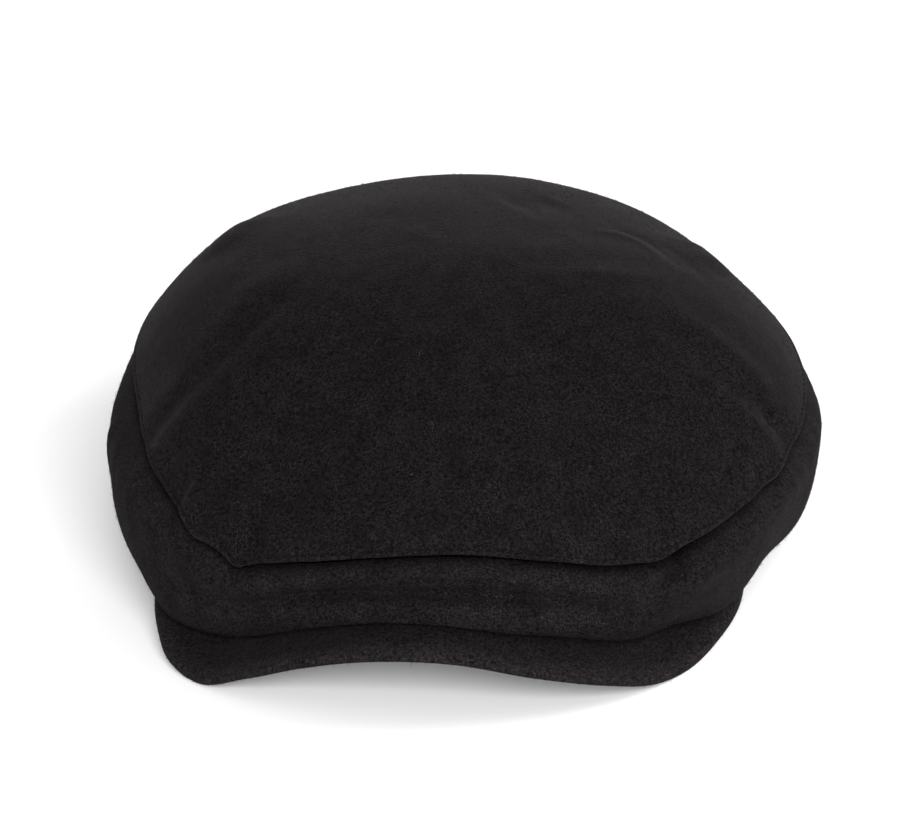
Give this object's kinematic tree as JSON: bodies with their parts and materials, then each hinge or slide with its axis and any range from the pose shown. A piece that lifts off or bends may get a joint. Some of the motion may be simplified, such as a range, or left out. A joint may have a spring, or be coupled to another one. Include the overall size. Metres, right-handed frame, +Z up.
{
  "type": "duckbill cap",
  "caption": "Soft flat cap of dark felted wool: a domed top panel sewn to a bulging side panel that folds over a short, arched, covered peak.",
  "frame": {"origin": "on the surface the cap stands on, under the middle of its bounding box", "axes": "+Z up, -Y towards the peak, +X towards the wearer's left"},
  "size_m": [0.2395, 0.273, 0.105],
  "materials": {
    "top_cloth": "matt felted wool, near black with a faint warm cast",
    "side_cloth": "matt felted wool, near black with a faint warm cast",
    "peak_cloth": "matt felted wool drawn tight over a board, near black"
  },
  "bodies": {
    "root": {"top_panel": "top_cloth", "side_panel": "side_cloth", "peak": "peak_cloth"}
  },
  "joints": []
}
